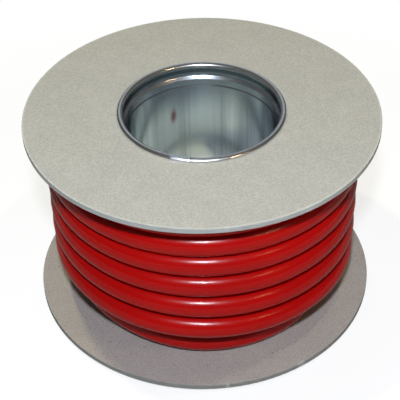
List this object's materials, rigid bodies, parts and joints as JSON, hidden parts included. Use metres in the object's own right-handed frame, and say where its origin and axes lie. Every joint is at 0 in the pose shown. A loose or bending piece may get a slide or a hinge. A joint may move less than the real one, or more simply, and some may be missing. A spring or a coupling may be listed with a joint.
{
  "type": "cable drum with wound single-core cable",
  "caption": "Board-flanged drum with a rolled tinplate hub, wound with thick glossy red single-core electrical cable",
  "frame": {"origin": "under the middle of the lower rolled rim, at the centre of the footprint", "axes": "+Z along the hub, from the lower flange to the upper one; +Y points away from the side where the lap seam shows"},
  "size_m": [0.2, 0.2, 0.1232],
  "materials": {
    "tinplate": "polished, lightly streaked",
    "greyboard": "matte",
    "cable_sheath": "glossy",
    "copper": "bright cut copper",
    "tape": "semi-gloss"
  },
  "bodies": {
    "root": {"core_tube": "tinplate", "top_flange": "greyboard", "bottom_flange": "greyboard", "cable_inner_layers": "cable_sheath", "cable_outer_layer": "cable_sheath", "conductor_end": "copper", "end_tape": "tape"}
  },
  "joints": []
}
